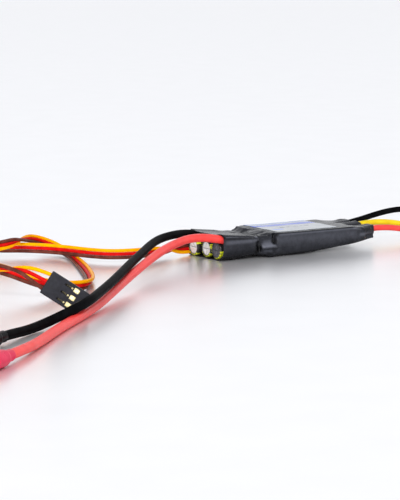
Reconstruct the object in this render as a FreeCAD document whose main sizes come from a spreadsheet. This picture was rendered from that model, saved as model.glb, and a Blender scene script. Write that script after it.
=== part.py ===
"""Electronic speed controller of the 40 A class, as an assembly of separate sub-parts.

Frame, in millimetres: +X runs from the battery end to the motor end, +Y is the side that the servo
lead leaves from, +Z is up. The origin is under the middle of the controller, on its resting face.
"""
import FreeCAD, Part
import math
import os

import Sketcher

Vector = FreeCAD.Vector
Rotation = FreeCAD.Rotation

doc = FreeCAD.newDocument("SpeedController")

# ---------------------------------------------------------------------------------------------
# Driving dimensions
# ---------------------------------------------------------------------------------------------

SIZES = {
    # heat-shrink jacket: a wall, and its cross-section at eight stations along X
    "jacket_wall": 0.35,
    "lip_x": -34.1, "lip_width": 22.6, "lip_base": 0.0, "lip_top": 9.2, "lip_round": 3.0,
    "neck_x": -26.0, "neck_width": 23.6, "neck_base": 0.0, "neck_top": 8.5, "neck_round": 2.6,
    "gather_x": -19.0, "gather_width": 23.4, "gather_base": 0.5, "gather_top": 8.0, "gather_round": 2.4,
    "front_x": -11.6, "front_width": 25.0, "front_base": 0.0, "front_top": 8.6, "front_round": 1.7,
    "belly_x": 12.0, "belly_width": 25.0, "belly_base": 0.0, "belly_top": 8.6, "belly_round": 1.7,
    "back_x": 25.0, "back_width": 25.0, "back_base": 1.7, "back_top": 8.6, "back_round": 1.7,
    "tail_x": 30.0, "tail_width": 22.6, "tail_base": 2.3, "tail_top": 8.2, "tail_round": 2.0,
    "rear_x": 35.5, "rear_width": 20.4, "rear_base": 2.6, "rear_top": 8.2, "rear_round": 2.2,
    # label on the flat top
    "label_length": 27.5, "label_width": 22.2, "label_thickness": 0.12, "label_front": -9.4,
    "label_side": -10.0,
    # filter capacitors, side by side in the open end
    "can_radius": 3.0, "can_length": 8.4, "can_pitch": 6.5, "can_height": 3.55, "can_tip": -34.2,
    "can_step": 1.3, "sleeve_wall": 0.15, "sleeve_lip": 0.45, "bung_radius": 2.7, "bung_length": 1.0,
    "lead_radius": 0.25, "lead_spacing": 2.5, "lead_length": 7.95,
    # heat spreader and its pad
    "spreader_length": 34.8, "spreader_width": 23.6, "spreader_thickness": 1.9, "spreader_x": 6.7,
    "pad_length": 32.0, "pad_width": 19.0, "pad_thickness": 0.6, "spreader_top": 8.2,
    # boards
    "power_length": 47.0, "power_width": 22.0, "power_thickness": 1.2, "power_rear": 27.0,
    "power_base": 3.5,
    "control_length": 21.0, "control_width": 20.0, "control_thickness": 0.8, "control_front": -9.5,
    "control_base": 1.5,
    # transistors, in two rows on each face of the power board
    "fet_length": 5.0, "fet_width": 6.0, "fet_thickness": 1.0, "fet_pitch": 5.4, "fet_count": 6,
    "fet_first": -8.2,
    # pins that link the boards, and the bus bars between the transistors
    "link_side": 0.5, "link_pitch": 1.0, "link_x": 9.6, "link_below": 0.3, "link_above": 0.1,
    "bar_length": 22.0, "bar_width": 2.4, "bar_thickness": 0.8, "bar_front": -14.0,
    # battery and motor wires
    "battery_wire_radius": 1.5, "motor_wire_radius": 1.1, "servo_wire_radius": 0.6,
    # bullet connectors
    "bullet_radius": 1.75, "bullet_reach": 9.0, "cup_radius": 2.2, "cup_length": 5.0,
    "socket_length": 13.0, "socket_bore": 9.0, "shrink_wall": 0.25, "shrink_shoulder": 0.4,
    "tip_taper": 0.7, "tip_length": 0.9,
    # servo plug
    "plug_length": 14.2, "plug_width": 7.8, "plug_thickness": 2.6, "plug_pitch": 2.54,
    "plug_cavity": 1.9, "window_length": 1.9, "window_at": 8.45, "finger_length": 2.8,
    "finger_at": 5.4, "finger_width": 0.6, "window_width": 1.5, "plug_nose": 1.4, "plug_entry": 0.9,
    "contact_wall": 0.25, "contact_slack": 0.1, "contact_front": 7.6, "contact_length": 5.0,
    "crimp_radius": 0.75, "crimp_length": 5.0, "crimp_overlap": 0.2, "tongue_width": 0.9,
    "tongue_thickness": 0.3,
}

sheet = doc.addObject("Spreadsheet::Sheet", "Sizes")
for row, (name, value) in enumerate(SIZES.items(), start=1):
    sheet.set(f"A{row}", name)
    sheet.set(f"B{row}", str(value))
    sheet.setAlias(f"B{row}", name)
doc.recompute()

nodes = []


# ---------------------------------------------------------------------------------------------
# Helpers
# ---------------------------------------------------------------------------------------------

def bind(thing, **cells):
    """Binds properties to expressions; x, y and z stand for the placement's base."""
    for name, expression in cells.items():
        path = f"Placement.Base.{name}" if name in ("x", "y", "z") else name
        thing.setExpression(path, str(expression))
    return thing


def evaluate(expression):
    """The value of an expression of the sheet's cells, as a plain number."""
    return float(sheet.evalExpression(str(expression)))


def keep(thing, label):
    """Names a finished sub-part and puts it on the list of those that are written out."""
    thing.Label = label
    nodes.append(thing)
    return thing


def box(name, length, width, height, x, y, z):
    """A Part::Box with a corner at x, y, z."""
    block = doc.addObject("Part::Box", name)
    return bind(block, Length=length, Width=width, Height=height, x=x, y=y, z=z)


def rod(name, radius, length, x, y, z, axis=Vector(1, 0, 0)):
    """A Part::Cylinder that starts at x, y, z and runs along an axis."""
    cylinder = doc.addObject("Part::Cylinder", name)
    cylinder.Placement = FreeCAD.Placement(Vector(), Rotation(Vector(0, 0, 1), axis))
    return bind(cylinder, Radius=radius, Height=length, x=x, y=y, z=z)


def cut(name, base, tool):
    """The base less the tool."""
    result = doc.addObject("Part::Cut", name)
    result.Base = base
    result.Tool = tool
    return result


def fuse(name, *pieces):
    """One solid out of several that touch."""
    result = doc.addObject("Part::MultiFuse", name)
    result.Shapes = list(pieces)
    result.Refine = True
    return result


def group(name, pieces):
    """Identical separate solids that share a node."""
    result = doc.addObject("Part::Compound", name)
    result.Links = list(pieces)
    return result


def rounded_section(name, x, width, base, top, radius):
    """A sketch across X: a rounded rectangle between the heights base and top."""
    half, low, high, r = (evaluate(cell) for cell in (f"({width}) / 2", base, top, radius))
    sketch = doc.addObject("Sketcher::SketchObject", name)
    across = Rotation(Vector(0, 1, 0), Vector(0, 0, 1), Vector(1, 0, 0), "ZXY")
    sketch.Placement = FreeCAD.Placement(Vector(), across)
    sketch.setExpression("Placement.Base.x", x)
    corners = [(half - r, low + r), (half - r, high - r), (r - half, high - r), (r - half, low + r)]
    sides = [
        ((r - half, low), (half - r, low)),
        ((half, low + r), (half, high - r)),
        ((half - r, high), (r - half, high)),
        ((-half, high - r), (-half, low + r)),
    ]
    for start, end in sides:
        sketch.addGeometry(Part.LineSegment(Vector(*start, 0), Vector(*end, 0)), False)
    for quarter, centre in enumerate(corners):
        first = math.radians(90 * quarter - 90)
        circle = Part.Circle(Vector(*centre, 0), Vector(0, 0, 1), r)
        sketch.addGeometry(Part.ArcOfCircle(circle, first, first + math.pi / 2), False)
    for side in range(4):
        arc = 4 + side
        sketch.addConstraint(Sketcher.Constraint("Tangent", side, 2, arc, 1))
        sketch.addConstraint(Sketcher.Constraint("Tangent", arc, 2, (side + 1) % 4, 1))
    for side, direction in enumerate(("Horizontal", "Vertical", "Horizontal", "Vertical")):
        sketch.addConstraint(Sketcher.Constraint(direction, side))
    for arc in (5, 6, 7):
        sketch.addConstraint(Sketcher.Constraint("Equal", 4, arc))
    driven = [
        (Sketcher.Constraint("Radius", 4, r), radius),
        (Sketcher.Constraint("DistanceX", 3, 1, 1, 1, 2 * half), width),
        (Sketcher.Constraint("DistanceX", -1, 1, 1, 1, half), f"({width}) / 2"),
        (Sketcher.Constraint("DistanceY", -1, 1, 2, 1, high), top),
        (Sketcher.Constraint("DistanceY", 0, 1, 2, 1, high - low), f"({top}) - ({base})"),
    ]
    for constraint, expression in driven:
        number = sketch.addConstraint(constraint)
        sketch.setExpression(f"Constraints[{number}]", expression)
    return sketch


def loft(name, sections):
    """A closed ruled solid through a row of sections."""
    result = doc.addObject("Part::Loft", name)
    result.Sections = sections
    result.Solid = True
    result.Ruled = True
    return result


# ---------------------------------------------------------------------------------------------
# Jacket and label
# ---------------------------------------------------------------------------------------------

STATIONS = ("lip", "neck", "gather", "front", "belly", "back", "tail", "rear")


def jacket_sections(prefix, inset, overrun):
    """The jacket's sections, each smaller by the inset all round; the end ones lie further out."""
    sections = []
    for station in STATIONS:
        shift = {"lip": f" - {overrun}", "rear": f" + {overrun}"}.get(station, "")
        at = f"Sizes.{station}_x{shift}"
        width = f"Sizes.{station}_width - 2 * {inset}"
        base = f"Sizes.{station}_base + {inset}"
        top = f"Sizes.{station}_top - {inset}"
        radius = f"Sizes.{station}_round - {inset}"
        sections.append(rounded_section(f"{prefix}_{station}", at, width, base, top, radius))
    return sections


outer_form = loft("jacket_outside", jacket_sections("outside", "0", "0"))
inner_form = loft("jacket_inside", jacket_sections("inside", "Sizes.jacket_wall", "0.5"))
keep(cut("jacket", outer_form, inner_form), "heat_shrink_jacket")

keep(
    box("label", "Sizes.label_length", "Sizes.label_width", "Sizes.label_thickness",
        "Sizes.label_front", "Sizes.label_side", "Sizes.front_top"),
    "label",
)

# ---------------------------------------------------------------------------------------------
# Capacitors: aluminium can, printed sleeve and rubber bung, with the two leads of each
# ---------------------------------------------------------------------------------------------

lead_wires = []
for number, (row, reach) in enumerate(((1, 1), (0, 0), (-1, 0)), start=1):
    tip = f"Sizes.can_tip - {reach} * Sizes.can_step"
    side = f"{row} * Sizes.can_pitch"
    height = "Sizes.can_height"
    can_end = f"{tip} + Sizes.sleeve_wall + Sizes.can_length"
    body = rod(f"can_body_{number}", "Sizes.can_radius", "Sizes.can_length",
               f"{tip} + Sizes.sleeve_wall", side, height)
    mouth = rod(f"can_mouth_{number}", "Sizes.bung_radius", "Sizes.bung_length",
                f"{can_end} - Sizes.bung_length", side, height)
    keep(cut(f"can_{number}", body, mouth), f"capacitor_can_{number}")

    wrap = rod(f"sleeve_body_{number}", "Sizes.can_radius + Sizes.sleeve_wall",
               "Sizes.can_length + Sizes.sleeve_wall", tip, side, height)
    hollow = rod(f"sleeve_hollow_{number}", "Sizes.can_radius", "Sizes.can_length + 1",
                 f"{tip} + Sizes.sleeve_wall", side, height)
    window = rod(f"sleeve_window_{number}", "Sizes.can_radius - Sizes.sleeve_lip",
                 "2 * Sizes.sleeve_wall + 1", f"{tip} - 1", side, height)
    keep(cut(f"sleeve_{number}", cut(f"sleeve_tube_{number}", wrap, hollow), window),
         f"capacitor_sleeve_{number}")

    bung = rod(f"bung_body_{number}", "Sizes.bung_radius", "Sizes.bung_length",
               f"{can_end} - Sizes.bung_length", side, height)
    holes = []
    for sign in (1, -1):
        lead_side = f"{side} + {sign} * Sizes.lead_spacing / 2"
        holes.append(rod(f"bung_hole_{number}", "Sizes.lead_radius", "Sizes.bung_length + 2",
                         f"{can_end} - Sizes.bung_length - 1", lead_side, height))
        lead_wires.append(rod(f"lead_{number}", "Sizes.lead_radius",
                              "Sizes.lead_length - %s * Sizes.can_step" % (1 - reach),
                              f"{can_end} - Sizes.bung_length", lead_side, height))
    keep(cut(f"bung_{number}", bung, group(f"bung_holes_{number}", holes)), f"capacitor_bung_{number}")
keep(group("leads", lead_wires), "capacitor_leads")

# ---------------------------------------------------------------------------------------------
# Heat spreader, pad and boards
# ---------------------------------------------------------------------------------------------

spreader = box("spreader_block", "Sizes.spreader_length", "Sizes.spreader_width",
               "Sizes.spreader_thickness", "Sizes.spreader_x - Sizes.spreader_length / 2",
               "-Sizes.spreader_width / 2", "Sizes.spreader_top - Sizes.spreader_thickness")
doc.recompute()
eased = doc.addObject("Part::Chamfer", "spreader")
eased.Base = spreader
eased.Edges = [(edge, 0.4, 0.4) for edge in (2, 6, 10, 12)]
keep(eased, "heat_spreader")

pad_base = "Sizes.spreader_top - Sizes.spreader_thickness - Sizes.pad_thickness"
keep(
    box("pad", "Sizes.pad_length", "Sizes.pad_width", "Sizes.pad_thickness",
        "Sizes.spreader_x - Sizes.pad_length / 2", "-Sizes.pad_width / 2", pad_base),
    "thermal_pad",
)

power_top = "Sizes.power_base + Sizes.power_thickness"
power_front = "Sizes.power_rear - Sizes.power_length"
control_top = "Sizes.control_base + Sizes.control_thickness"
PIN_PLACES = (-2.5, -1.5, -0.5, 0.5, 1.5, 2.5)


def pin_row(name, height, z):
    """A row of square pins across the boards, or of the holes for them."""
    side = "Sizes.link_side"
    return group(name, [
        box(f"{name}_one", side, side, height, "Sizes.link_x",
            f"{place} * Sizes.link_pitch - {side} / 2", z)
        for place in PIN_PLACES
    ])


def board(name, length, width, thickness, x, z):
    """A circuit board with a row of pin holes across it."""
    plate = box(f"{name}_plate", length, width, thickness, x, f"-({width}) / 2", z)
    return cut(name, plate, pin_row(f"{name}_holes", f"{thickness} + 2", f"{z} - 1"))


keep(board("power_pcb", "Sizes.power_length", "Sizes.power_width", "Sizes.power_thickness",
           power_front, "Sizes.power_base"), "power_board")
keep(board("control_pcb", "Sizes.control_length", "Sizes.control_width", "Sizes.control_thickness",
           "Sizes.control_front", "Sizes.control_base"), "control_board")

link_base = "Sizes.control_base - Sizes.link_below"
link_top = f"{power_top} + Sizes.link_above"
keep(pin_row("link_pins", f"({link_top}) - ({link_base})", link_base), "board_link_pins")


def transistor_row(name, sides, z):
    """Two rows of power transistors along the board."""
    row = []
    for side in sides:
        for number in range(SIZES["fet_count"]):
            x = f"Sizes.fet_first + {number} * Sizes.fet_pitch"
            row.append(box(f"{name}_fet", "Sizes.fet_length", "Sizes.fet_width", "Sizes.fet_thickness",
                           x, f"{side} - Sizes.fet_width / 2", z))
    return group(name, row)


keep(transistor_row("upper_fets", (-6.0, 6.0), power_top), "high_side_transistors")
keep(transistor_row("lower_fets", (-6.6,), "Sizes.power_base - Sizes.fet_thickness"),
     "low_side_transistors")


def chip_group(name, size, corners, z, hanging=False):
    """Chips of one size on a board: standing on the height z, or hanging under it."""
    length, width, height = size
    level = f"{z} - {height}" if hanging else z
    return group(name, [box(f"{name}_chip", length, width, height, x, y, level) for x, y in corners])


keep(chip_group("mcu", (7.0, 7.0, 0.9), [(-4.5, -3.5)], "Sizes.control_base", True), "microcontroller")
keep(chip_group("drivers", (3.0, 3.0, 0.8), [(4.6, -8.6), (4.6, -2.6), (4.6, 3.4)],
                "Sizes.control_base", True), "gate_drivers")
keep(chip_group("clock", (3.2, 1.3, 0.8), [(-8.6, -8.4)], "Sizes.control_base", True), "resonator")
keep(chip_group("regulators", (6.2, 5.4, 2.1), [(-19.0, -2.7), (-19.0, 3.1)], power_top),
     "supply_regulators")
keep(chip_group("coil", (4.4, 4.4, 2.4), [(-18.6, -5.4)], "Sizes.power_base", True),
     "supply_inductor")
ceramic_places = [(-7.4 + 2.1 * number, 5.6) for number in range(5)]
keep(chip_group("ceramics", (1.6, 0.8, 0.8), ceramic_places, "Sizes.control_base", True),
     "ceramic_capacitors")
resistor_places = [(-7.4 + 1.5 * number, 8.0) for number in range(7)]
keep(chip_group("resistors", (1.0, 0.5, 0.35), resistor_places, "Sizes.control_base", True),
     "chip_resistors")

for label, side in (("positive_bus_bar", -1.6), ("negative_bus_bar", 2.2)):
    keep(box(label, "Sizes.bar_length", "Sizes.bar_width", "Sizes.bar_thickness", "Sizes.bar_front",
             side, "Sizes.power_base - Sizes.bar_thickness"), label)

# ---------------------------------------------------------------------------------------------
# Cords
# ---------------------------------------------------------------------------------------------

ARC_SHARE = 0.45


def cord_path(points):
    """Straight runs joined by tangent arcs, and the arcs' radii."""
    corners = [Vector(*point) for point in points]
    edges = []
    radii = []
    start = corners[0]
    for before, corner, after in zip(corners, corners[1:], corners[2:]):
        arriving = (corner - before).normalize()
        leaving = (after - corner).normalize()
        half_turn = arriving.getAngle(leaving) / 2
        setback = ARC_SHARE * min((corner - before).Length, (after - corner).Length)
        radii.append(setback / math.tan(half_turn))
        arc_start = corner - arriving * setback
        arc_end = corner + leaving * setback
        inward = (leaving - arriving).normalize()
        sagitta = radii[-1] * (1 / math.cos(half_turn) - 1)
        edges.append(Part.LineSegment(start, arc_start).toShape())
        edges.append(Part.Arc(arc_start, corner + inward * sagitta, arc_end).toShape())
        start = arc_end
    edges.append(Part.LineSegment(start, corners[-1]).toShape())
    return Part.Wire(edges), radii


def cord(label, points, radius_name):
    """A cord's plain tube."""
    path, radii = cord_path(points)
    radius = float(sheet.get(radius_name))
    start = Vector(*points[0])
    ring = Part.Wire(Part.makeCircle(radius, start, Vector(*points[1]) - start))
    tube = doc.addObject("Part::Feature", label)
    tube.Shape = path.makePipeShell([ring], True, False)
    expected = math.pi * radius**2 * path.Length
    share = tube.Shape.Volume / expected
    print(f"{label}: length {path.Length:.1f}, tightest radius {min(radii):.1f}, "
          f"widest {max(radii):.1f}, volume share {share:.3f}")
    if abs(share - 1) > 0.02:
        raise ValueError(f"{label} has the wrong volume")
    return keep(tube, label)


POSITIVE_ROUTE = [
    (-17.6, -9.0, 6.1), (-24.5, -9.5, 6.7), (-32.0, -9.1, 7.5), (-39.5, -8.2, 9.0), (-47.5, -9.6, 9.5),
    (-55.5, -13.6, 9.0), (-64.5, -19.4, 8.2), (-75.0, -27.6, 7.0), (-86.5, -37.4, 5.5),
    (-99.0, -48.4, 3.9), (-111.5, -60.6, 2.7), (-123.5, -72.4, 1.8), (-136.0, -83.8, 1.55),
    (-148.5, -94.8, 1.55), (-160.0, -106.0, 1.55), (-171.0, -117.2, 1.7), (-180.6, -125.8, 2.3),
    (-190.6, -133.4, 2.5),
]
NEGATIVE_ROUTE = [
    (-17.6, 9.0, 6.1), (-24.5, 9.4, 6.8), (-32.0, 9.0, 7.7), (-40.5, 5.9, 8.9), (-48.5, 1.2, 9.4),
    (-56.5, -3.6, 9.3), (-65.0, -11.2, 8.9), (-76.5, -23.6, 8.3), (-89.0, -36.8, 7.7),
    (-102.0, -51.2, 7.1), (-114.0, -64.2, 6.6), (-124.8, -75.3, 6.2), (-133.4, -84.0, 5.8),
    (-140.6, -87.6, 4.6), (-147.5, -88.6, 2.7), (-155.0, -92.0, 1.75), (-162.5, -96.8, 1.65),
    (-170.5, -101.8, 2.2), (-179.0, -107.4, 2.5),
]
MOTOR_ROUTES = {
    "red": [
        (21.0, -7.2, 5.8), (28.5, -7.1, 6.0), (36.0, -7.2, 6.4), (43.0, -7.3, 6.3), (50.0, -7.8, 5.3),
        (57.5, -8.9, 3.8), (65.0, -10.5, 2.7), (72.0, -11.9, 2.5), (79.0, -13.2, 2.5),
    ],
    "yellow": [
        (21.0, 0.0, 5.8), (28.5, 0.1, 6.5), (36.0, 0.0, 7.2), (43.5, 0.1, 7.5), (51.0, -0.2, 6.8),
        (59.0, -0.9, 5.2), (67.0, -1.4, 3.5), (74.5, -1.6, 2.6), (81.5, -1.5, 2.5), (88.5, -1.3, 2.5),
    ],
    "black": [
        (21.0, 7.2, 5.8), (28.5, 7.5, 6.1), (36.0, 7.8, 6.7), (43.0, 8.0, 7.7), (50.0, 8.2, 9.0),
        (57.0, 8.6, 9.9), (65.0, 9.4, 10.0), (73.0, 10.4, 8.4), (81.0, 11.4, 5.6), (88.5, 12.1, 3.3),
        (95.5, 12.5, 2.5), (102.5, 12.8, 2.5),
    ],
}

# the servo lead's middle strand, and the step from it to the signal strand beside it
SERVO_ROUTE = [
    ((-9.9, 6.2, 1.9), (0.00, -1.27, 0.00)),
    ((-14.6, 8.2, 2.1), (-0.40, -0.90, -0.80)),
    ((-20.0, 9.9, 2.5), (0.00, 0.00, -1.27)),
    ((-27.0, 10.4, 2.6), (0.00, 0.00, -1.27)),
    ((-34.0, 10.3, 2.4), (0.00, 0.00, -1.27)),
    ((-40.0, 9.6, 2.3), (0.00, -0.90, -0.90)),
    ((-46.0, 8.2, 2.8), (-0.30, -0.75, 0.98)),
    ((-54.0, 6.0, 3.2), (0.00, 0.00, 1.27)),
    ((-62.5, 5.4, 3.3), (0.00, 0.00, 1.27)),
    ((-70.0, 8.6, 3.3), (0.00, 0.00, 1.27)),
    ((-74.5, 16.0, 3.3), (0.00, 0.00, 1.27)),
    ((-77.0, 24.5, 3.3), (0.00, 0.00, 1.27)),
    ((-81.5, 32.5, 3.4), (0.00, 0.00, 1.27)),
    ((-88.5, 38.8, 3.6), (0.00, 0.00, 1.27)),
    ((-97.0, 42.4, 3.8), (0.10, 0.30, 1.23)),
    ((-104.5, 43.2, 4.4), (0.10, 1.05, 0.70)),
    ((-109.0, 39.0, 5.2), (-1.20, 0.20, -0.30)),
    ((-107.5, 32.8, 5.9), (-0.50, -0.60, -1.00)),
    ((-101.5, 30.6, 6.4), (0.00, -0.10, -1.27)),
    ((-96.0, 32.2, 6.9), (0.20, 0.30, -1.22)),
    ((-90.5, 36.2, 7.1), (0.70, 1.05, 0.00)),
    ((-84.0, 42.2, 6.3), (0.45, 0.75, 0.90)),
    ((-77.5, 44.4, 4.6), (0.55, 0.55, 1.00)),
    ((-73.8, 39.0, 2.6), (1.00, 0.30, 0.70)),
    ((-74.2, 31.0, 1.0), (1.25, 0.00, 0.20)),
    ((-77.0, 21.0, 0.75), (1.22, -0.35, 0.00)),
    ((-81.5, 10.5, 1.1), (1.05, -0.55, 0.45)),
    ((-87.0, -2.5, 1.4), (0.95, -0.60, 0.60)),
    ((-93.0, -15.5, 1.6), (0.95, -0.60, 0.60)),
    ((-99.0, -27.0, 1.9), (0.80, -0.65, 0.75)),
    ((-104.5, -36.0, 2.1), (0.40, -0.50, 1.10)),
    ((-112.0, -40.2, 2.3), (0.00, 0.00, 1.27)),
    ((-119.5, -40.6, 3.3), (0.00, 0.00, 1.27)),
    ((-126.5, -41.6, 5.0), (0.00, 0.00, 1.27)),
    ((-131.8, -39.6, 7.2), (0.00, 0.00, 1.27)),
    ((-136.2, -36.4, 9.3), (0.00, 0.00, 1.27)),
    ((-142.5, -33.6, 11.0), (0.20, 0.50, 1.15)),
    ((-149.0, -35.6, 12.3), (-0.50, 1.00, 0.60)),
    ((-152.2, -41.6, 13.2), (-1.00, 0.75, -0.20)),
    ((-151.2, -48.4, 13.6), (-0.60, 0.80, -0.75)),
    ((-149.2, -54.2, 13.7), (-0.10, 0.90, -0.90)),
    ((-147.7, -60.2, 13.9), (0.30, 1.15, -0.30)),
    ((-146.9, -65.6, 14.3), (0.50, 0.90, 0.70)),
    ((-145.4, -70.2, 13.6), (1.15, -0.20, 1.50)),
    ((-142.1, -73.1, 11.2), (1.31, -0.49, 2.12)),
]
STRANDS = {"servo_wire_ground": -1, "servo_wire_positive": 0, "servo_wire_signal": 1}

cord("battery_wire_positive", POSITIVE_ROUTE, "battery_wire_radius")
cord("battery_wire_negative", NEGATIVE_ROUTE, "battery_wire_radius")
for colour, route in MOTOR_ROUTES.items():
    cord(f"motor_wire_{colour}", route, "motor_wire_radius")
for label, place in STRANDS.items():
    strand = [tuple(a + place * b for a, b in zip(at, step)) for at, step in SERVO_ROUTE]
    cord(label, strand, "servo_wire_radius")

# ---------------------------------------------------------------------------------------------
# Bullet connectors, each with a shrink sleeve over its cup
# ---------------------------------------------------------------------------------------------


def beyond(route, distance):
    """The point at a distance past a route's end, and the direction of its last run."""
    end = Vector(*route[-1])
    ahead = (end - Vector(*route[-2])).normalize()
    return end + ahead * distance, ahead


def past_end(route, name, radius, length, distance):
    """A rod in line with a route's last run, starting at a distance past its end."""
    start, ahead = beyond(route, distance)
    return rod(name, radius, length, start.x, start.y, start.z, ahead)


def bullet_plug(label, route):
    """A male bullet: the solder cup, a spring barrel and its tapered tip."""
    cup_length, reach = SIZES["cup_length"], SIZES["bullet_reach"]
    cup = past_end(route, f"{label}_cup", "Sizes.cup_radius", "Sizes.cup_length", 0)
    barrel = past_end(route, f"{label}_barrel", "Sizes.bullet_radius", "Sizes.bullet_reach", cup_length)
    tip = doc.addObject("Part::Cone", f"{label}_tip")
    start, ahead = beyond(route, cup_length + reach)
    tip.Placement = FreeCAD.Placement(start, Rotation(Vector(0, 0, 1), ahead))
    bind(tip, Radius1="Sizes.bullet_radius", Radius2="Sizes.bullet_radius - Sizes.tip_taper",
         Height="Sizes.tip_length")
    return keep(fuse(label, cup, barrel, tip), label)


def bullet_socket(label, route):
    """A female bullet: one barrel, bored from its open end."""
    barrel = past_end(route, f"{label}_barrel", "Sizes.cup_radius", "Sizes.socket_length", 0)
    bottom = SIZES["socket_length"] - SIZES["socket_bore"]
    bore = past_end(route, f"{label}_bore", "Sizes.bullet_radius", "Sizes.socket_bore + 1", bottom)
    return keep(cut(label, barrel, bore), label)


def shrink_sleeve(label, route, wire_radius, grip, cover):
    """A sleeve that grips the wire for a way and covers the connector's cup or barrel."""
    shoulder = "Sizes.shrink_shoulder"
    outer = fuse(
        f"{label}_outside",
        past_end(route, f"{label}_neck", f"{wire_radius} + Sizes.shrink_wall", grip, -grip),
        past_end(route, f"{label}_body", "Sizes.cup_radius + Sizes.shrink_wall",
                 f"{cover} + {shoulder}", -SIZES["shrink_shoulder"]),
    )
    inner = group(f"{label}_inside", [
        past_end(route, f"{label}_wire", wire_radius, grip + 1, -grip - 1),
        past_end(route, f"{label}_cup_room", "Sizes.cup_radius", f"{cover} + 1", 0),
    ])
    return keep(cut(label, outer, inner), label)


for name, route in (("positive", POSITIVE_ROUTE), ("negative", NEGATIVE_ROUTE)):
    bullet_plug(f"battery_bullet_{name}", route)
    shrink_sleeve(f"battery_sleeve_{name}", route, "Sizes.battery_wire_radius", 5.5, "Sizes.cup_length")
for colour, route in MOTOR_ROUTES.items():
    bullet_socket(f"motor_bullet_{colour}", route)
    shrink_sleeve(f"motor_sleeve_{colour}", route, "Sizes.motor_wire_radius", 3.6, "Sizes.socket_length")


# ---------------------------------------------------------------------------------------------
# Solder joints
# ---------------------------------------------------------------------------------------------

def solder_joints(label, places, foot, crown, height, z):
    """Domed joints that share a node."""
    domes = []
    for x, y in places:
        dome = doc.addObject("Part::Cone", f"{label}_dome")
        domes.append(bind(dome, Radius1=foot, Radius2=crown, Height=height, x=x, y=y, z=z))
    return keep(group(label, domes), label)


solder_joints("battery_solder_joints", [(-15.5, -9.0), (-15.5, 9.0)], 1.9, 1.0, 1.7, power_top)
solder_joints("motor_solder_joints", [(19.2, side) for side in (-7.2, 0.0, 7.2)], 1.6, 0.8, 0.9, power_top)
servo_pads = [(-8.9, 6.2 + 1.27 * place) for place in (-1, 0, 1)]
solder_joints("servo_solder_joints", servo_pads, 0.55, 0.3, 0.5, control_top)

# ---------------------------------------------------------------------------------------------
# Servo plug: X from the wires to the nose, Y across the three ways, Z out of the windows
# ---------------------------------------------------------------------------------------------

PLUG_PLACE = FreeCAD.Placement(Vector(*SERVO_ROUTE[-1][0]), Rotation(-38.9, 32.1, 80.0))
WAYS = (-1, 0, 1)


def plane_of(body, role):
    """A body's own origin plane."""
    return next(feature for feature in body.Origin.OriginFeatures if feature.Role == role)


def rectangles(body, name, role, boxes):
    """A sketch on an origin plane: rectangles given by corner x, corner y, width and height."""
    sketch = body.newObject("Sketcher::SketchObject", name)
    sketch.AttachmentSupport = (plane_of(body, role), "")
    sketch.MapMode = "FlatFace"
    for left, low, width, height in boxes:
        first = sketch.GeometryCount
        ends = [Vector(1, 1, 0), Vector(3, 1, 0), Vector(3, 2, 0), Vector(1, 2, 0)]
        for start, end in zip(ends, ends[1:] + ends[:1]):
            sketch.addGeometry(Part.LineSegment(start, end), False)
        for side in range(4):
            sketch.addConstraint(Sketcher.Constraint("Coincident", first + side, 2,
                                                     first + (side + 1) % 4, 1))
            flat = "Horizontal" if side % 2 == 0 else "Vertical"
            sketch.addConstraint(Sketcher.Constraint(flat, first + side))
        driven = [
            (Sketcher.Constraint("DistanceX", first, 1, first, 2, 2), width),
            (Sketcher.Constraint("DistanceY", first + 1, 1, first + 1, 2, 1), height),
            (Sketcher.Constraint("DistanceX", -1, 1, first, 1, 1), left),
            (Sketcher.Constraint("DistanceY", -1, 1, first, 1, 1), low),
        ]
        for constraint, expression in driven:
            number = sketch.addConstraint(constraint)
            sketch.setExpression(f"Constraints[{number}]", str(expression))
    return sketch


housing = doc.addObject("PartDesign::Body", "housing")
blank = housing.newObject("PartDesign::Pad", "blank")
blank.Profile = rectangles(housing, "outline", "XY_Plane",
                           [("0", "-Sizes.plug_width / 2", "Sizes.plug_length", "Sizes.plug_width")])
blank.setExpression("Length", "Sizes.plug_thickness")
blank.Midplane = True
doc.recompute()


def pocket(name, role, boxes, reverse, length=None):
    """A pocket of rectangles in the housing, through everything or to a length."""
    before = housing.Tip.Shape.Volume
    feature = housing.newObject("PartDesign::Pocket", name)
    feature.Profile = rectangles(housing, f"{name}_outline", role, boxes)
    feature.Reversed = reverse
    if length is None:
        feature.Type = "ThroughAll"
    else:
        feature.setExpression("Length", length)
    doc.recompute()
    if feature.Shape.Volume > before - 0.1:
        raise RuntimeError(f"{name} cut nothing")
    return feature


def ways(size):
    """One centred square for each way, as seen along X."""
    return [(f"{way} * Sizes.plug_pitch - ({size}) / 2", f"-({size}) / 2", size, size) for way in WAYS]


def face_slots(at, length, width):
    """One rectangle for each way in the plug's face."""
    return [(at, f"{way} * Sizes.plug_pitch - ({width}) / 2", length, width) for way in WAYS]


pocket("cavities", "YZ_Plane", ways("Sizes.plug_cavity"), True, "Sizes.plug_length - Sizes.plug_nose")
pocket("entries", "YZ_Plane", ways("Sizes.plug_entry"), True)
pocket("windows", "XY_Plane",
       face_slots("Sizes.window_at", "Sizes.window_length", "Sizes.window_width"), True,
       "Sizes.plug_thickness")
pocket("fingers", "XY_Plane",
       face_slots("Sizes.finger_at", "Sizes.finger_length", "Sizes.finger_width"), True,
       "Sizes.plug_thickness")
housing.Placement = PLUG_PLACE
keep(housing, "servo_plug_housing")

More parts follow.
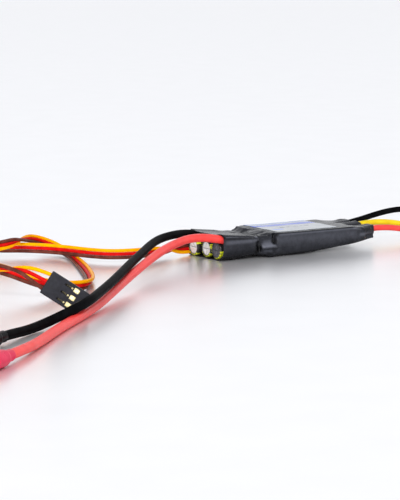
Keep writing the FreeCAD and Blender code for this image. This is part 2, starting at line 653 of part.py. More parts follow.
for number, way in enumerate(WAYS, start=1):
    front = "Sizes.contact_front"
    wall = "Sizes.contact_wall"
    width = "(Sizes.plug_cavity - Sizes.contact_slack)"
    side = f"{way} * Sizes.plug_pitch"
    shell = box(f"contact_shell_{number}", "Sizes.contact_length", width, width, front,
                f"{side} - {width} / 2", f"-{width} / 2")
    room = box(f"contact_room_{number}", "Sizes.contact_length", f"{width} - 2 * {wall}",
               f"{width} - 2 * {wall}", f"{front} + 2 * {wall}",
               f"{side} - {width} / 2 + {wall}", f"-{width} / 2 + {wall}")
    barrel = rod(f"contact_barrel_{number}", "Sizes.crimp_radius", "Sizes.crimp_length",
                 "0", side, "0")
    tongue = box(f"contact_tongue_{number}", f"{front} - Sizes.crimp_length + 2 * Sizes.crimp_overlap",
                 "Sizes.tongue_width", "Sizes.tongue_thickness",
                 "Sizes.crimp_length - Sizes.crimp_overlap",
                 f"{side} - Sizes.tongue_width / 2", "-Sizes.crimp_radius")
    crimp = fuse(f"contact_crimp_{number}", barrel, tongue)
    contact = fuse(f"contact_{number}", cut(f"contact_box_{number}", shell, room), crimp)
    doc.recompute()
    contact.Placement = PLUG_PLACE
    keep(contact, f"servo_contact_{number}")

doc.recompute()

# ---------------------------------------------------------------------------------------------
# Check and write
# ---------------------------------------------------------------------------------------------

for thing in doc.Objects:
    if "Invalid" in thing.State or "Error" in thing.State:
        raise RuntimeError(f"{thing.Name} did not compute: {thing.State}")
for node in nodes:
    if node.Shape.isNull() or not node.Shape.isValid():
        raise RuntimeError(f"{node.Label} is not a valid shape")

os.makedirs("parts", exist_ok=True)
for node in nodes:
    node.Shape.exportStep(f"parts/{node.Label}.step")
print(len(nodes), "sub-parts written")
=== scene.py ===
"""Looks of the speed controller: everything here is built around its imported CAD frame.

Shapes are worked out in millimetres, in the CAD's own frame, and become metres when a mesh is made.
"""
import math

import bpy
import numpy as np
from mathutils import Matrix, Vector, noise
from mathutils.bvhtree import BVHTree


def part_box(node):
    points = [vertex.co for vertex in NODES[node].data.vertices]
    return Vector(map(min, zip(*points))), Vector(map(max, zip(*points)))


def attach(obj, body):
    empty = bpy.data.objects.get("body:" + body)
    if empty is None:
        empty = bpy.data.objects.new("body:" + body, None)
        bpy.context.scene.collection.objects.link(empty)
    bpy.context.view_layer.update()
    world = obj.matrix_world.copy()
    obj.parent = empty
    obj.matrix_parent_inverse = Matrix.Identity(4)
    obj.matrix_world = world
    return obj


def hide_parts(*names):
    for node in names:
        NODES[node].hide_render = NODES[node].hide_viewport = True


MM = 0.001
BODY = "root"

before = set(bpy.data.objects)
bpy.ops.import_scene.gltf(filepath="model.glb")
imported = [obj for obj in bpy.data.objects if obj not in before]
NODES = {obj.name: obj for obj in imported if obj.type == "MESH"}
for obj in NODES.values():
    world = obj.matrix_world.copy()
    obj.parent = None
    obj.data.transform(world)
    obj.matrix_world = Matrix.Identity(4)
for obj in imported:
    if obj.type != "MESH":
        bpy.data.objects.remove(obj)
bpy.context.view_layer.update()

# ---------------------------------------------------------------------------------------------
# Materials
# ---------------------------------------------------------------------------------------------

# the part of a cloudy pattern's range over which colour, and gloss, run from one end to the other
TINT_RANGE = (0.35, 0.65)
POLISH_RANGE = (0.3, 0.7)
# how much wider than a surface's bumps its patches of colour and of gloss are
TINT_SIZE = 6
POLISH_SIZE = 3
BUMP_DETAIL = 6.0
# the near-black colour painted into folds and hollows as shade
DEEP_SHADE = (6, 6, 7)


def srgb(red, green, blue):
    """A colour given as it looks on a screen, 0 to 255, as the linear one that a shader takes."""
    linear = [(c / 255 / 12.92) if c < 10.31 else ((c / 255 + 0.055) / 1.055) ** 2.4
              for c in (red, green, blue)]
    return (*linear, 1.0)


def finish(name, roughness, **values):
    """A material with its shader's sockets set by name."""
    material = bpy.data.materials.new(name)
    material.use_nodes = True
    inputs = material.node_tree.nodes["Principled BSDF"].inputs
    inputs["Roughness"].default_value = roughness
    for socket, value in values.items():
        inputs[socket.replace("_", " ")].default_value = value
    return material


def node(material, kind, sockets=None, **settings):
    """A node of a material: its settings, and what each socket holds or is linked to."""
    made = material.node_tree.nodes.new(kind)
    for name, value in settings.items():
        setattr(made, name, value)
    for socket, value in (sockets or {}).items():
        if isinstance(value, bpy.types.NodeSocket):
            material.node_tree.links.new(value, made.inputs[socket])
        else:
            made.inputs[socket].default_value = value
    return made


def feed(material, socket, output):
    """Links an output to a socket of the material's shader."""
    principled = material.node_tree.nodes["Principled BSDF"]
    material.node_tree.links.new(output, principled.inputs[socket])


def grain(material, size, detail=4.0, stretch=(1.0, 1.0, 1.0)):
    """A cloudy pattern from 0 to 1 whose patches are about that many millimetres wide."""
    place = node(material, "ShaderNodeTexCoord").outputs["Object"]
    scaled = node(material, "ShaderNodeMapping", {"Vector": place, "Scale": stretch}).outputs[0]
    cloud = node(material, "ShaderNodeTexNoise",
                 {"Vector": scaled, "Scale": 1 / (size * MM), "Detail": detail})
    return cloud.outputs["Fac"]


def tint(material, pattern, dark, light):
    """The base colour runs between two colours with a pattern."""
    ramp = node(material, "ShaderNodeValToRGB", {"Fac": pattern})
    for stop, position, colour in zip(ramp.color_ramp.elements, TINT_RANGE, (dark, light)):
        stop.position = position
        stop.color = colour
    feed(material, "Base Color", ramp.outputs["Color"])


def polish(material, pattern, smooth, rough):
    """The roughness runs between two values with a pattern."""
    low, high = POLISH_RANGE
    spread = node(material, "ShaderNodeMapRange",
                  {"Value": pattern, "From Min": low, "From Max": high, "To Min": smooth, "To Max": rough})
    feed(material, "Roughness", spread.outputs["Result"])


def relief(material, pattern, height):
    """Fine bumps of that height in millimetres."""
    bump = node(material, "ShaderNodeBump", {"Height": pattern, "Distance": height * MM, "Strength": 1.0})
    feed(material, "Normal", bump.outputs["Normal"])


def speckled(name, dark, light, smooth, rough, size, height, stretch=(1.0, 1.0, 1.0), **values):
    """A moulded, drawn or sprayed surface: cloudy in colour and gloss, with fine bumps."""
    material = finish(name, (smooth + rough) / 2, **values)
    tint(material, grain(material, size * TINT_SIZE, stretch=stretch), dark, light)
    polish(material, grain(material, size * POLISH_SIZE, stretch=stretch), smooth, rough)
    relief(material, grain(material, size, detail=BUMP_DETAIL, stretch=stretch), height)
    return material


def base_colour(material):
    """The output that the shader's base colour is linked to so far."""
    principled = material.node_tree.nodes["Principled BSDF"]
    return principled.inputs["Base Color"].links[0].from_socket


def paint_fold_shade(material, reach, power):
    """Paints shade into the base colour inside folds and hollows up to that many millimetres wide."""
    plain = base_colour(material)
    open_share = node(material, "ShaderNodeAmbientOcclusion", {"Distance": reach * MM}, samples=6)
    sharper = node(material, "ShaderNodeMath", {0: open_share.outputs["AO"], 1: power}, operation="POWER")
    feed(material, "Base Color", node(material, "ShaderNodeMix", {
        0: sharper.outputs[0], 6: srgb(*DEEP_SHADE), 7: plain}, data_type="RGBA").outputs[2])


def paint_light_and_shade(material, attribute, dark, light):
    """Paints light into the base colour where an attribute is above 0 and paints shade into it where it is
    below 0.
    """
    plain = base_colour(material)
    amount = node(material, "ShaderNodeAttribute", attribute_name=attribute).outputs["Fac"]
    # below 0 the amount mixes in the painted shade colour, above 0 the painted highlight colour
    shrunk = node(material, "ShaderNodeMath", {0: amount, 1: -1.0}, operation="MULTIPLY", use_clamp=True)
    lit_share = node(material, "ShaderNodeMath", {0: amount, 1: 1.0}, operation="MULTIPLY", use_clamp=True)
    darker = node(material, "ShaderNodeMix", {0: shrunk.outputs[0], 6: plain, 7: dark}, data_type="RGBA")
    paler = node(material, "ShaderNodeMix", {
        0: lit_share.outputs[0], 6: darker.outputs[2], 7: light}, data_type="RGBA")
    feed(material, "Base Color", paler.outputs[2])


# each finish: colours, smoothest and roughest gloss, width and height of its bumps in millimetres
FILM = speckled("film", srgb(40, 41, 46), srgb(50, 51, 57), 0.24, 0.32, 0.5, 0.012,
                Specular_IOR_Level=0.09)
# painted highlights and painted shade on the film, read from its "stretch" attribute
paint_light_and_shade(FILM, "stretch", srgb(7, 7, 9), srgb(104, 106, 116))
# painted shade in the film's folds and creases
paint_fold_shade(FILM, 2.0, 1.8)
SILICONE_RED = speckled("silicone_red", srgb(236, 62, 58), srgb(244, 72, 68), 0.34, 0.46, 0.6, 0.006,
                        Specular_IOR_Level=0.3, Subsurface_Weight=0.08, Subsurface_Scale=0.0012)
SILICONE_BLACK = speckled("silicone_black", srgb(10, 10, 11), srgb(17, 17, 19), 0.34, 0.44, 0.6, 0.008,
                          Specular_IOR_Level=0.006)
SILICONE_YELLOW = speckled("silicone_yellow", srgb(228, 196, 0), srgb(244, 214, 20), 0.34, 0.46, 0.6,
                           0.006, Specular_IOR_Level=0.3, Subsurface_Weight=0.08, Subsurface_Scale=0.001)
STRAND_ORANGE = speckled("strand_orange", srgb(246, 160, 0), srgb(253, 176, 4), 0.18, 0.28, 0.5, 0.004,
                         Specular_IOR_Level=0.015)
STRAND_RED = speckled("strand_red", srgb(190, 16, 17), srgb(210, 25, 23), 0.30, 0.42, 0.5, 0.004,
                      Specular_IOR_Level=0.015)
STRAND_BROWN = speckled("strand_brown", srgb(84, 42, 34), srgb(112, 60, 48), 0.16, 0.24, 0.5, 0.004,
                        Specular_IOR_Level=0.015)
SHRINK_PINK = speckled("shrink_pink", srgb(212, 42, 76), srgb(224, 56, 90), 0.26, 0.40, 0.5, 0.01,
                       Specular_IOR_Level=0.08)
SHRINK_BLACK = speckled("shrink_black", srgb(14, 14, 16), srgb(24, 24, 27), 0.30, 0.44, 0.5, 0.012,
                        Specular_IOR_Level=0.06)
SHRINK_GREY = speckled("shrink_grey", srgb(20, 20, 23), srgb(30, 30, 34), 0.28, 0.42, 0.5, 0.012,
                       Specular_IOR_Level=0.1)
GOLD = speckled("gold_plate", srgb(240, 220, 160), srgb(252, 238, 190), 0.18, 0.34, 0.3, 0.004,
                Metallic=1.0)
ALUMINIUM = speckled("aluminium", srgb(222, 220, 220), srgb(240, 239, 238), 0.30, 0.45, 0.15, 0.006,
                     Metallic=0.25)
# painted shade in the scored vents and round the rims of the capacitor ends
paint_fold_shade(ALUMINIUM, 0.7, 2.0)
# a darker copy of the aluminium: painted shade for the third capacitor's end
ALUMINIUM_PAINTED_SHADE = speckled("aluminium_painted_shade", srgb(66, 67, 74), srgb(84, 85, 92), 0.34, 0.5, 0.15, 0.006,
                            Metallic=0.25)
SLEEVE_BLACK = speckled("capacitor_sleeve_film", srgb(18, 18, 20), srgb(34, 34, 36), 0.22, 0.36, 0.4, 0.01)
SLEEVE_PRINT = speckled("capacitor_print", srgb(188, 196, 10), srgb(220, 226, 40), 0.4, 0.55, 0.3, 0.004)
RUBBER = speckled("rubber", srgb(20, 20, 20), srgb(36, 36, 36), 0.6, 0.8, 0.3, 0.015)
TINNED = speckled("tinned_wire", srgb(196, 196, 200), srgb(226, 226, 230), 0.22, 0.4, 0.2, 0.004,
                  Metallic=1.0)
SPREADER = speckled("spreader_metal", srgb(170, 172, 178), srgb(206, 208, 212), 0.3, 0.5, 0.25, 0.01,
                    stretch=(0.1, 1.0, 1.0), Metallic=1.0)
PAD = speckled("pad_silicone", srgb(132, 156, 170), srgb(160, 182, 194), 0.6, 0.8, 0.3, 0.01)
LAMINATE = speckled("board_laminate", srgb(16, 66, 38), srgb(28, 92, 54), 0.32, 0.5, 0.35, 0.008)
EPOXY = speckled("chip_epoxy", srgb(28, 28, 30), srgb(44, 44, 47), 0.5, 0.7, 0.15, 0.008)
CERAMIC = speckled("ceramic_body", srgb(172, 142, 104), srgb(198, 166, 126), 0.4, 0.6, 0.15, 0.005)
COPPER = speckled("bar_copper", srgb(196, 118, 80), srgb(226, 150, 108), 0.22, 0.42, 0.3, 0.006, Metallic=1.0)
SOLDER = speckled("solder", srgb(178, 178, 182), srgb(214, 214, 218), 0.2, 0.38, 0.4, 0.02, Metallic=1.0)
CONTACT = speckled("contact_plate", srgb(214, 196, 140), srgb(232, 218, 170), 0.24, 0.4, 0.3, 0.004,
                   Metallic=0.8)
# painted shade on the contacts inside the plug's slots
paint_fold_shade(CONTACT, 3.0, 1.6)
PLUG_PLASTIC = speckled("plug_plastic", srgb(22, 22, 29), srgb(32, 32, 40), 0.40, 0.55, 0.2, 0.012,
                        Specular_IOR_Level=0.15)


PAPER = ((154, 160, 168), (168, 173, 180))
# printed shapes, in millimetres from the label's front and near edges: from and to along it (none
# means the whole length), from and to across it, and the colour
PRINT = (
    (None, (13.6, 17.8), (44, 82, 196)),
    (None, (19.6, 22.2), (124, 146, 196)),
    ((2.0, 6.8), (4.6, 7.2), (84, 116, 214)),
    ((10.0, 17.5), (5.6, 6.1), (140, 144, 152)),
    ((8.0, 10.0), (9.0, 10.4), (84, 86, 92)),
    ((11.0, 12.4), (9.0, 10.4), (84, 86, 92)),
    ((13.6, 16.0), (9.0, 10.4), (84, 86, 92)),
    ((17.0, 18.2), (9.0, 10.4), (84, 86, 92)),
    ((19.2, 21.0), (9.0, 10.4), (84, 86, 92)),
)


def label_face(front, near):
    """The label's print: pale face, blue bands and plain grey bars in place of any lettering."""
    material = finish("label_print", 0.16, Specular_IOR_Level=0.1)
    place = node(material, "ShaderNodeTexCoord").outputs["Object"]
    axes = node(material, "ShaderNodeSeparateXYZ", {"Vector": place})

    def measured(axis, edge):
        return node(material, "ShaderNodeMath", {0: axes.outputs[axis], 1: -edge * MM}).outputs[0]

    def inside(value, low, high):
        middle, half = (low + high) / 2 * MM, (high - low) / 2 * MM
        sockets = {0: value, 1: middle, 2: half}
        return node(material, "ShaderNodeMath", sockets, operation="COMPARE").outputs[0]

    along, across = measured("X", front), measured("Y", near)
    paper = node(material, "ShaderNodeValToRGB", {"Fac": grain(material, 3.0)})
    for stop, colour in zip(paper.color_ramp.elements, PAPER):
        stop.color = srgb(*colour)
    face = paper.outputs["Color"]
    for length, breadth, colour in PRINT:
        where = inside(across, *breadth)
        if length:
            first = inside(along, *length)
            where = node(material, "ShaderNodeMath", {0: first, 1: where}, operation="MULTIPLY").outputs[0]
        mixed = node(material, "ShaderNodeMix", {0: where, 6: face, 7: srgb(*colour)}, data_type="RGBA")
        face = mixed.outputs[2]
    feed(material, "Base Color", face)
    relief(material, grain(material, 1.2), 0.006)
    return material


# ---------------------------------------------------------------------------------------------
# Meshes
# ---------------------------------------------------------------------------------------------


def mesh_piece(name, points, faces, *materials):
    """A smooth mesh of points in millimetres."""
    mesh = bpy.data.meshes.new(name)
    mesh.from_pydata([tuple(float(c) * MM for c in point) for point in points], [], faces)
    mesh.update()
    mesh.shade_smooth()
    for material in materials:
        mesh.materials.append(material)
    piece = bpy.data.objects.new(f"{name}_shown", mesh)
    bpy.context.scene.collection.objects.link(piece)
    return piece


def settle(piece, slot, *replaced):
    """The piece rides on the object's body and stands for CAD nodes, which it hides; the slot is not used."""
    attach(piece, BODY)
    if replaced:
        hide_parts(*replaced)
    return piece


def grid_faces(rows, columns, closed):
    """Quads between neighbouring rows of points; closed joins each row's end to its start."""
    faces = []
    for row in range(rows - 1):
        for column in range(columns if closed else columns - 1):
            after = (column + 1) % columns
            faces.append((row * columns + column, row * columns + after,
                          (row + 1) * columns + after, (row + 1) * columns + column))
    return faces


def lathe(profile, start, axis, segments=64):
    """Points and faces of a profile of (distance along the axis, radius), turned about it."""
    axis = Vector(axis).normalized()
    side = axis.orthogonal().normalized()
    other = axis.cross(side)
    points = []
    for along, radius in profile:
        for step in range(segments):
            turn = 2 * math.pi * step / segments
            offset = side * math.cos(turn) + other * math.sin(turn)
            points.append(Vector(start) + axis * along + offset * radius)
    return points, grid_faces(len(profile), segments, True)


def rounded(profile, radius=0.2, steps=4):
    """A profile with its inner corners eased by short arcs."""
    eased = [profile[0]]
    for before, corner, after in zip(profile, profile[1:], profile[2:]):
        to_before = Vector(before) - Vector(corner)
        to_after = Vector(after) - Vector(corner)
        reach = min(radius, to_before.length * 0.45, to_after.length * 0.45)
        first = Vector(corner) + to_before.normalized() * reach
        last = Vector(corner) + to_after.normalized() * reach
        for step in range(steps + 1):
            t = step / steps
            bend = first * (1 - t) ** 2 + Vector(corner) * 2 * t * (1 - t) + last * t ** 2
            eased.append(tuple(bend))
    eased.append(profile[-1])
    return eased


# ---------------------------------------------------------------------------------------------
# Camera, light and floor
# ---------------------------------------------------------------------------------------------


def look(thing, place, target):
    """Puts a camera or light at a place, facing a target."""
    thing.location = Vector(place)
    thing.rotation_mode = "QUATERNION"
    thing.rotation_quaternion = (Vector(target) - Vector(place)).to_track_quat("-Z", "Y")
    bpy.context.scene.collection.objects.link(thing)


CAMERA_PLACE = Vector((-0.4731, -0.6572, 0.12126))
CAMERA_HEADING = math.radians(33.58)
CAMERA_DIP = math.radians(8.51)
FOCAL_LENGTH = 158.4

lens = bpy.data.cameras.new("camera")
lens.lens = FOCAL_LENGTH
lens.clip_start = 0.05
lens.clip_end = 20.0
camera = bpy.data.objects.new("camera", lens)
ahead = Vector((math.sin(CAMERA_HEADING) * math.cos(CAMERA_DIP),
                math.cos(CAMERA_HEADING) * math.cos(CAMERA_DIP), -math.sin(CAMERA_DIP)))
look(camera, CAMERA_PLACE, CAMERA_PLACE + ahead)
bpy.context.scene.camera = camera


LIT_PLACE = (-0.06, -0.03, 0.0)


def area_light(name, place, size, power):
    """A soft box facing the middle of the object."""
    lamp = bpy.data.lights.new(name, "AREA")
    lamp.shape = "DISK"
    lamp.size = size
    lamp.energy = power
    look(bpy.data.objects.new(name, lamp), place, LIT_PLACE)


area_light("key", (-0.75, -0.95, 1.0), 0.45, 11.0)
area_light("fill", (-1.1, -0.9, 0.26), 0.8, 8.0)

HORIZON_GLOW = 1.24
ZENITH_GLOW = 0.42
# heights, as shares of straight up, between which the room's glow falls from the one to the other
WALL_TOP, CEILING = 0.2, 0.8
ROOM_TINT = (0.965, 0.975, 1.0, 1.0)
TABLE_HALF = 6000.0


def studio():
    """A pale room, brightest round its walls and dimmer overhead."""
    world = bpy.data.worlds.new("studio")
    bpy.context.scene.world = world
    world.use_nodes = True
    backdrop = world.node_tree.nodes["Background"]
    backdrop.inputs["Color"].default_value = ROOM_TINT
    way = node(world, "ShaderNodeTexCoord").outputs["Generated"]
    height = node(world, "ShaderNodeSeparateXYZ", {"Vector": way}).outputs["Z"]
    glow = node(world, "ShaderNodeMapRange",
                {"Value": height, "From Min": WALL_TOP, "From Max": CEILING,
                 "To Min": HORIZON_GLOW, "To Max": ZENITH_GLOW}, interpolation_type="SMOOTHSTEP")
    world.node_tree.links.new(glow.outputs["Result"], backdrop.inputs["Strength"])


studio()
bpy.context.scene.view_settings.view_transform = "Standard"


def floor():
    """A pale table, wide enough to run out of the view."""
    corners = [(x * TABLE_HALF, y * TABLE_HALF, 0) for x, y in ((-1, -1), (1, -1), (1, 1), (-1, 1))]
    top = speckled("table_top", srgb(240, 240, 242), srgb(242, 242, 244), 0.28, 0.30, 3.0, 0.002,
                   Metallic=0.66)
    table = mesh_piece("table", corners, [(0, 1, 2, 3)], top)


floor()

# ---------------------------------------------------------------------------------------------
# Cords: the routes are the CAD's own, in millimetres
# ---------------------------------------------------------------------------------------------

POSITIVE_ROUTE = [
    (-17.6, -9.0, 6.1), (-24.5, -9.5, 6.7), (-32.0, -9.1, 7.5), (-39.5, -8.2, 9.0), (-47.5, -9.6, 9.5),
    (-55.5, -13.6, 9.0), (-64.5, -19.4, 8.2), (-75.0, -27.6, 7.0), (-86.5, -37.4, 5.5),
    (-99.0, -48.4, 3.9), (-111.5, -60.6, 2.7), (-123.5, -72.4, 1.8), (-136.0, -83.8, 1.55),
    (-148.5, -94.8, 1.55), (-160.0, -106.0, 1.55), (-171.0, -117.2, 1.7), (-180.6, -125.8, 2.3),
    (-190.6, -133.4, 2.5),
]
NEGATIVE_ROUTE = [
    (-17.6, 9.0, 6.1), (-24.5, 9.4, 6.8), (-32.0, 9.0, 7.7), (-40.5, 5.9, 8.9), (-48.5, 1.2, 9.4),
    (-56.5, -3.6, 9.3), (-65.0, -11.2, 8.9), (-76.5, -23.6, 8.3), (-89.0, -36.8, 7.7),
    (-102.0, -51.2, 7.1), (-114.0, -64.2, 6.6), (-124.8, -75.3, 6.2), (-133.4, -84.0, 5.8),
    (-140.6, -87.6, 4.6), (-147.5, -88.6, 2.7), (-155.0, -92.0, 1.75), (-162.5, -96.8, 1.65),
    (-170.5, -101.8, 2.2), (-179.0, -107.4, 2.5),
]
MOTOR_ROUTES = {
    "red": [
        (21.0, -7.2, 5.8), (28.5, -7.1, 6.0), (36.0, -7.2, 6.4), (43.0, -7.3, 6.3), (50.0, -7.8, 5.3),
        (57.5, -8.9, 3.8), (65.0, -10.5, 2.7), (72.0, -11.9, 2.5), (79.0, -13.2, 2.5),
    ],
    "yellow": [
        (21.0, 0.0, 5.8), (28.5, 0.1, 6.5), (36.0, 0.0, 7.2), (43.5, 0.1, 7.5), (51.0, -0.2, 6.8),
        (59.0, -0.9, 5.2), (67.0, -1.4, 3.5), (74.5, -1.6, 2.6), (81.5, -1.5, 2.5), (88.5, -1.3, 2.5),
    ],
    "black": [
        (21.0, 7.2, 5.8), (28.5, 7.5, 6.1), (36.0, 7.8, 6.7), (43.0, 8.0, 7.7), (50.0, 8.2, 9.0),
        (57.0, 8.6, 9.9), (65.0, 9.4, 10.0), (73.0, 10.4, 8.4), (81.0, 11.4, 5.6), (88.5, 12.1, 3.3),
        (95.5, 12.5, 2.5), (102.5, 12.8, 2.5),
    ],
}
# the servo lead's middle strand, and the step from it to the signal strand beside it
SERVO_ROUTE = [
    ((-9.9, 6.2, 1.9), (0.00, -1.27, 0.00)),
    ((-14.6, 8.2, 2.1), (-0.40, -0.90, -0.80)),
    ((-20.0, 9.9, 2.5), (0.00, 0.00, -1.27)),
    ((-27.0, 10.4, 2.6), (0.00, 0.00, -1.27)),
    ((-34.0, 10.3, 2.4), (0.00, 0.00, -1.27)),
    ((-40.0, 9.6, 2.3), (0.00, -0.90, -0.90)),
    ((-46.0, 8.2, 2.8), (-0.30, -0.75, 0.98)),
    ((-54.0, 6.0, 3.2), (0.00, 0.00, 1.27)),
    ((-62.5, 5.4, 3.3), (0.00, 0.00, 1.27)),
    ((-70.0, 8.6, 3.3), (0.00, 0.00, 1.27)),
    ((-74.5, 16.0, 3.3), (0.00, 0.00, 1.27)),
    ((-77.0, 24.5, 3.3), (0.00, 0.00, 1.27)),
    ((-81.5, 32.5, 3.4), (0.00, 0.00, 1.27)),
    ((-88.5, 38.8, 3.6), (0.00, 0.00, 1.27)),
    ((-97.0, 42.4, 3.8), (0.10, 0.30, 1.23)),
    ((-104.5, 43.2, 4.4), (0.10, 1.05, 0.70)),
    ((-109.0, 39.0, 5.2), (-1.20, 0.20, -0.30)),
    ((-107.5, 32.8, 5.9), (-0.50, -0.60, -1.00)),
    ((-101.5, 30.6, 6.4), (0.00, -0.10, -1.27)),
    ((-96.0, 32.2, 6.9), (0.20, 0.30, -1.22)),
    ((-90.5, 36.2, 7.1), (0.70, 1.05, 0.00)),
    ((-84.0, 42.2, 6.3), (0.45, 0.75, 0.90)),
    ((-77.5, 44.4, 4.6), (0.55, 0.55, 1.00)),
    ((-73.8, 39.0, 2.6), (1.00, 0.30, 0.70)),
    ((-74.2, 31.0, 1.0), (1.25, 0.00, 0.20)),
    ((-77.0, 21.0, 0.75), (1.22, -0.35, 0.00)),
    ((-81.5, 10.5, 1.1), (1.05, -0.55, 0.45)),
    ((-87.0, -2.5, 1.4), (0.95, -0.60, 0.60)),
    ((-93.0, -15.5, 1.6), (0.95, -0.60, 0.60)),
    ((-99.0, -27.0, 1.9), (0.80, -0.65, 0.75)),
    ((-104.5, -36.0, 2.1), (0.40, -0.50, 1.10)),
    ((-112.0, -40.2, 2.3), (0.00, 0.00, 1.27)),
    ((-119.5, -40.6, 3.3), (0.00, 0.00, 1.27)),
    ((-126.5, -41.6, 5.0), (0.00, 0.00, 1.27)),
    ((-131.8, -39.6, 7.2), (0.00, 0.00, 1.27)),
    ((-136.2, -36.4, 9.3), (0.00, 0.00, 1.27)),
    ((-142.5, -33.6, 11.0), (0.20, 0.50, 1.15)),
    ((-149.0, -35.6, 12.3), (-0.50, 1.00, 0.60)),
    ((-152.2, -41.6, 13.2), (-1.00, 0.75, -0.20)),
    ((-151.2, -48.4, 13.6), (-0.60, 0.80, -0.75)),
    ((-149.2, -54.2, 13.7), (-0.10, 0.90, -0.90)),
    ((-147.7, -60.2, 13.9), (0.30, 1.15, -0.30)),
    ((-146.9, -65.6, 14.3), (0.50, 0.90, 0.70)),
    ((-145.4, -70.2, 13.6), (1.15, -0.20, 1.50)),
    ((-142.1, -73.1, 11.2), (1.31, -0.49, 2.12)),
]


WIRE_FACETS = 7
WIRE_STEPS = 10


def wire(name, route, radius, material, slot):
    """A smooth round wire whose control points are the route's own."""
    curve = bpy.data.curves.new(name, "CURVE")
    curve.dimensions = "3D"
    curve.bevel_depth = radius * MM
    curve.bevel_resolution = WIRE_FACETS
    curve.resolution_u = WIRE_STEPS
    curve.use_fill_caps = True
    spline = curve.splines.new("NURBS")
    spline.points.add(len(route) - 1)
    for point, place in zip(spline.points, route):
        point.co = (*(c * MM for c in place), 1.0)
    spline.order_u = 3
    spline.use_endpoint_u = True
    curve.materials.append(material)
    piece = bpy.data.objects.new(f"{name}_shown", curve)
    bpy.context.scene.collection.objects.link(piece)
    return settle(piece, slot, name)


def end_of(route):
    """A route's end, and the direction of its last run."""
    end = Vector(route[-1])
    return end, (end - Vector(route[-2])).normalized()


# ---------------------------------------------------------------------------------------------
# Bullet connectors and their shrink sleeves
# ---------------------------------------------------------------------------------------------

BULLET_SEGMENTS = 96
BULLET_SLITS = 4
SLIT_DEPTH = 0.3
# where along the bullet the slits run, and how near a slit's middle, as a cosine, its edges are
SLIT_FROM, SLIT_TO, SLIT_EDGE = 5.9, 13.3, 0.96


def bullet_plug(name, route):
    """A gold male bullet: solder cup, flange, slotted spring barrel and tapered tip."""
    end, ahead_of_it = end_of(route)
    profile = rounded([
        (0.0, 1.6), (0.0, 2.2), (4.2, 2.2), (4.4, 2.05), (5.0, 2.05), (5.0, 1.55), (5.8, 1.55), (7.0, 1.72),
        (9.6, 1.75), (12.2, 1.7), (13.4, 1.5), (14.3, 1.45), (14.85, 1.05), (14.9, 0.0),
    ], 0.15)
    points, faces = lathe(profile, end, ahead_of_it, BULLET_SEGMENTS)
    barrel = []
    for number, point in enumerate(points):
        along, radius = profile[number // BULLET_SEGMENTS]
        slit = math.cos(BULLET_SLITS * 2 * math.pi * (number % BULLET_SEGMENTS) / BULLET_SEGMENTS)
        slotted = SLIT_FROM < along < SLIT_TO
        depth = SLIT_DEPTH * max(0.0, slit - SLIT_EDGE) / (1 - SLIT_EDGE) if slotted else 0.0
        axis_point = end + ahead_of_it * along
        barrel.append(axis_point + (point - axis_point) * (1 - depth / max(radius, 0.1)))
    return settle(mesh_piece(name, barrel, faces, GOLD), "gold", name)


def bullet_socket(name, route):
    """A gold female bullet: a barrel with a bored mouth and a peep hole's collar."""
    end, ahead_of_it = end_of(route)
    profile = rounded([
        (0.0, 1.2), (0.0, 2.2), (12.6, 2.2), (13.0, 2.1), (13.0, 1.85), (12.7, 1.75), (4.0, 1.75), (4.0, 0.0),
    ], 0.12)
    points, faces = lathe(profile, end, ahead_of_it)
    return settle(mesh_piece(name, points, faces, GOLD), "gold", name)


SLEEVE_SEGMENTS = 48
SLEEVE_WALL = 0.25
CUP_RADIUS = 2.2
SLEEVE_WOBBLE = 0.10


def shrink_sleeve(name, route, wire_radius, grip, cover, material, slot):
    """A shrunk sleeve: tight on the wire, stepped up over the metal, and a little uneven."""
    end, ahead_of_it = end_of(route)
    tight, loose = wire_radius + SLEEVE_WALL, CUP_RADIUS + SLEEVE_WALL
    profile = rounded([
        (-grip, wire_radius + 0.02), (-grip, tight), (-1.9, tight), (-0.7, loose), (cover - 0.1, loose),
        (cover, CUP_RADIUS + SLEEVE_WALL * 0.6), (cover, CUP_RADIUS + 0.01),
    ], 0.4, 6)
    points, faces = lathe(profile, end, ahead_of_it, SLEEVE_SEGMENTS)
    uneven = []
    for number, point in enumerate(points):
        along, radius = profile[number // SLEEVE_SEGMENTS]
        axis_point = end + ahead_of_it * along
        wobble = SLEEVE_WOBBLE * (noise.noise(point * 0.9) * 0.6 + noise.noise(point * 2.3) * 0.4)
        share = 1 + (wobble / radius if 0.1 < along + grip and along < cover - 0.2 else 0.0)
        uneven.append(axis_point + (point - axis_point) * share)
    return settle(mesh_piece(name, uneven, faces, material), slot, name)


BATTERY_RADIUS, MOTOR_RADIUS, SERVO_RADIUS = 1.5, 1.1, 0.62
# how far each sleeve grips its wire and covers its connector
BATTERY_SLEEVE = (5.5, 6.4)
MOTOR_SLEEVE = (3.6, 13.0)
# each servo strand: its side of the middle one, finish, slot and length in metres
SERVO_STRANDS = {
    "servo_wire_ground": (-1, STRAND_BROWN, "servo_brown", 0.3315),
    "servo_wire_positive": (0, STRAND_RED, "servo_red", 0.3371),
    "servo_wire_signal": (1, STRAND_ORANGE, "servo_orange", 0.3456),
}

for name, colour, route, length, material, cover in (
    ("positive", "red", POSITIVE_ROUTE, 0.2203, SILICONE_RED, SHRINK_PINK),
    ("negative", "black", NEGATIVE_ROUTE, 0.2055, SILICONE_BLACK, SHRINK_BLACK),
):
    piece = wire(f"battery_wire_{name}", route, BATTERY_RADIUS, material, f"wire_{colour}")
    on_it = [
        bullet_plug(f"battery_bullet_{name}", route),
        shrink_sleeve(f"battery_sleeve_{name}", route, BATTERY_RADIUS, *BATTERY_SLEEVE, cover,
                      f"shrink_{colour}"),
    ]

